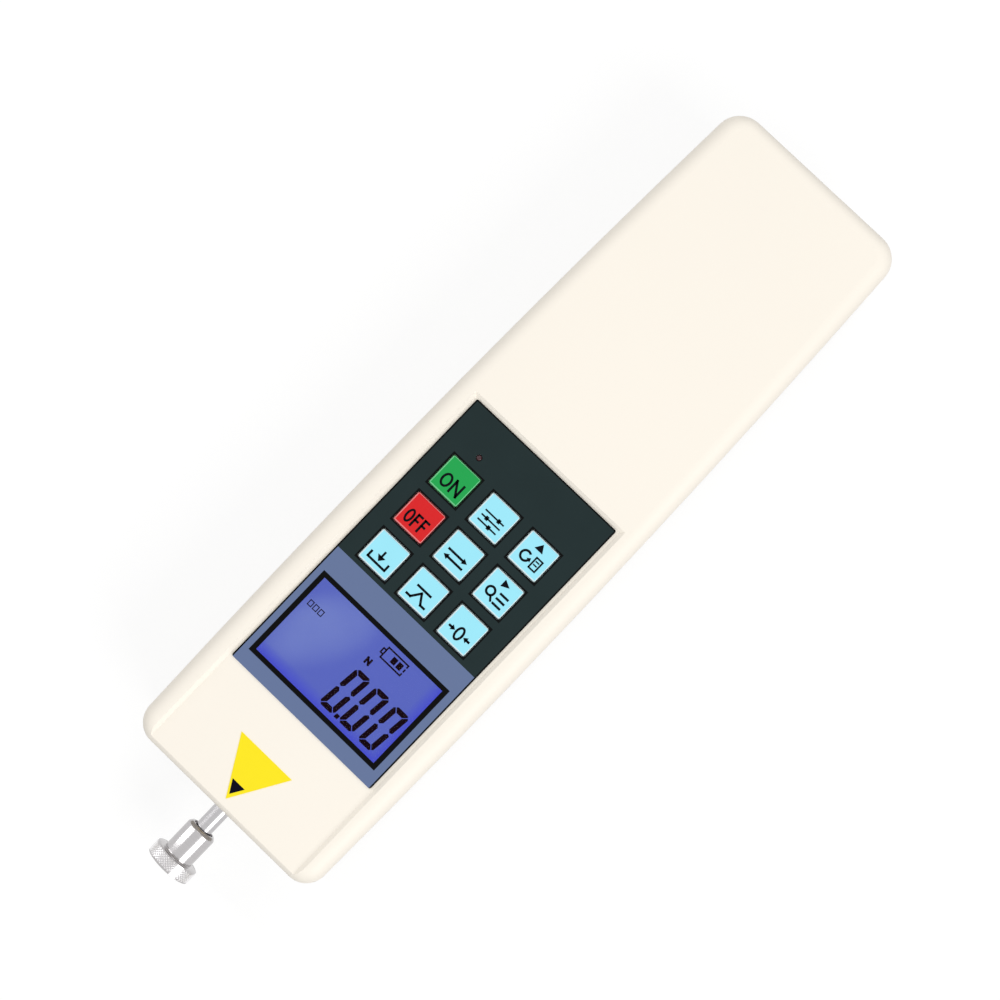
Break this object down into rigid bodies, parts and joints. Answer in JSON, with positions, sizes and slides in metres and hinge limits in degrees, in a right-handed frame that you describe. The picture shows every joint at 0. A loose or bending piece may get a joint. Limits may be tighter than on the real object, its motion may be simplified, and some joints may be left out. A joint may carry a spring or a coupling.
{
  "type": "force gauge",
  "caption": "Handheld digital push-pull force gauge with key pad, lit display and a shaft with a knurled flat head.",
  "frame": {"origin": "centre of the four stand holes, on the rear face", "axes": "+Y from the nose with the shaft to the tail, +Z out of the front face with the keys, +X to the right as the keys are read"},
  "size_m": [0.066, 0.2535, 0.036],
  "materials": {
    "case_plastic": "lightly textured cream ABS",
    "overlay_print": "satin printed polyester, dark keypad field and blue-grey display field",
    "key_green": "satin green key",
    "key_red": "satin red key",
    "key_blue": "satin light blue key",
    "black_plastic": "moulded black plastic",
    "clear_plastic": "clear acrylic window",
    "display_glass": "lit blue liquid crystal cell",
    "white_plastic": "white light guide",
    "circuit_board": "green solder mask",
    "bright_steel": "ground and turned steel",
    "screw_steel": "zinc-plated steel",
    "plated_head": "nickel-plated, turned and knurled",
    "cell_aluminium": "milled aluminium",
    "bush_brass": "turned brass",
    "gauge_film": "amber film",
    "battery_steel": "cell cans",
    "shrink_sleeve": "blue shrink film",
    "foam": "soft foam",
    "sticker": "yellow film with a black triangle",
    "lamp_red": "dark red lens",
    "lead_jacket": "grey lead jacket"
  },
  "bodies": {
    "case": {"front_cover": "case_plastic", "rear_cover": "case_plastic", "front_overlay": "overlay_print", "display_bezel": "black_plastic", "display_window": "clear_plastic", "display_glass": "display_glass", "display_backlight": "white_plastic", "main_board": "circuit_board", "board_components": "black_plastic", "board_screws": "screw_steel", "status_lamp": "lamp_red", "key_switches": "black_plastic", "case_screws": "screw_steel", "chassis_plate": "cell_aluminium", "chassis_screws": "screw_steel", "stand_inserts": "bush_brass", "load_cell": "cell_aluminium", "strain_gauges": "gauge_film", "cell_bracket": "cell_aluminium", "cell_bolt": "screw_steel", "bracket_screws": "screw_steel", "guide_bush": "bush_brass", "battery_cells": "battery_steel", "battery_sleeve": "shrink_sleeve", "battery_pad": "foam", "socket_board": "circuit_board", "socket_board_screws": "screw_steel", "charge_socket": "black_plastic", "data_socket": "black_plastic", "pointer_sticker": "sticker", "cell_lead": "lead_jacket", "battery_lead": "lead_jacket", "socket_lead": "lead_jacket", "display_pins": "bright_steel"},
    "shaft": {"force_shaft": "bright_steel", "lock_nut": "screw_steel"},
    "head": {"flat_head": "plated_head"},
    "key_on": {"key_on": "key_green", "key_on_plunger": "black_plastic"},
    "key_set": {"key_set": "key_blue", "key_set_plunger": "black_plastic"},
    "key_up": {"key_up": "key_blue", "key_up_plunger": "black_plastic"},
    "key_off": {"key_off": "key_red", "key_off_plunger": "black_plastic"},
    "key_unit": {"key_unit": "key_blue", "key_unit_plunger": "black_plastic"},
    "key_right": {"key_right": "key_blue", "key_right_plunger": "black_plastic"},
    "key_store": {"key_store": "key_blue", "key_store_plunger": "black_plastic"},
    "key_peak": {"key_peak": "key_blue", "key_peak_plunger": "black_plastic"},
    "key_zero": {"key_zero": "key_blue", "key_zero_plunger": "black_plastic"}
  },
  "joints": [
    {"name": "shaft_push_pull", "type": "slide", "parent": "case", "child": "shaft", "axis": [0, 1, 0], "range_m": [-0.00025, 0.00025], "stiffness_N_per_m": 200000, "deforming": ["load_cell"]},
    {"name": "head_screw", "type": "hinge", "parent": "shaft", "child": "head", "pos_m": [0, -0.0905, 0.018], "axis": [0, -1, 0], "range_deg": [0, 360]},
    {"name": "key_on_press", "type": "slide", "parent": "case", "child": "key_on", "axis": [0, 0, -1], "range_m": [0, 0.0003], "stiffness_N_per_m": 5000},
    {"name": "key_set_press", "type": "slide", "parent": "case", "child": "key_set", "axis": [0, 0, -1], "range_m": [0, 0.0003], "stiffness_N_per_m": 5000},
    {"name": "key_up_press", "type": "slide", "parent": "case", "child": "key_up", "axis": [0, 0, -1], "range_m": [0, 0.0003], "stiffness_N_per_m": 5000},
    {"name": "key_off_press", "type": "slide", "parent": "case", "child": "key_off", "axis": [0, 0, -1], "range_m": [0, 0.0003], "stiffness_N_per_m": 5000},
    {"name": "key_unit_press", "type": "slide", "parent": "case", "child": "key_unit", "axis": [0, 0, -1], "range_m": [0, 0.0003], "stiffness_N_per_m": 5000},
    {"name": "key_right_press", "type": "slide", "parent": "case", "child": "key_right", "axis": [0, 0, -1], "range_m": [0, 0.0003], "stiffness_N_per_m": 5000},
    {"name": "key_store_press", "type": "slide", "parent": "case", "child": "key_store", "axis": [0, 0, -1], "range_m": [0, 0.0003], "stiffness_N_per_m": 5000},
    {"name": "key_peak_press", "type": "slide", "parent": "case", "child": "key_peak", "axis": [0, 0, -1], "range_m": [0, 0.0003], "stiffness_N_per_m": 5000},
    {"name": "key_zero_press", "type": "slide", "parent": "case", "child": "key_zero", "axis": [0, 0, -1], "range_m": [0, 0.0003], "stiffness_N_per_m": 5000}
  ]
}
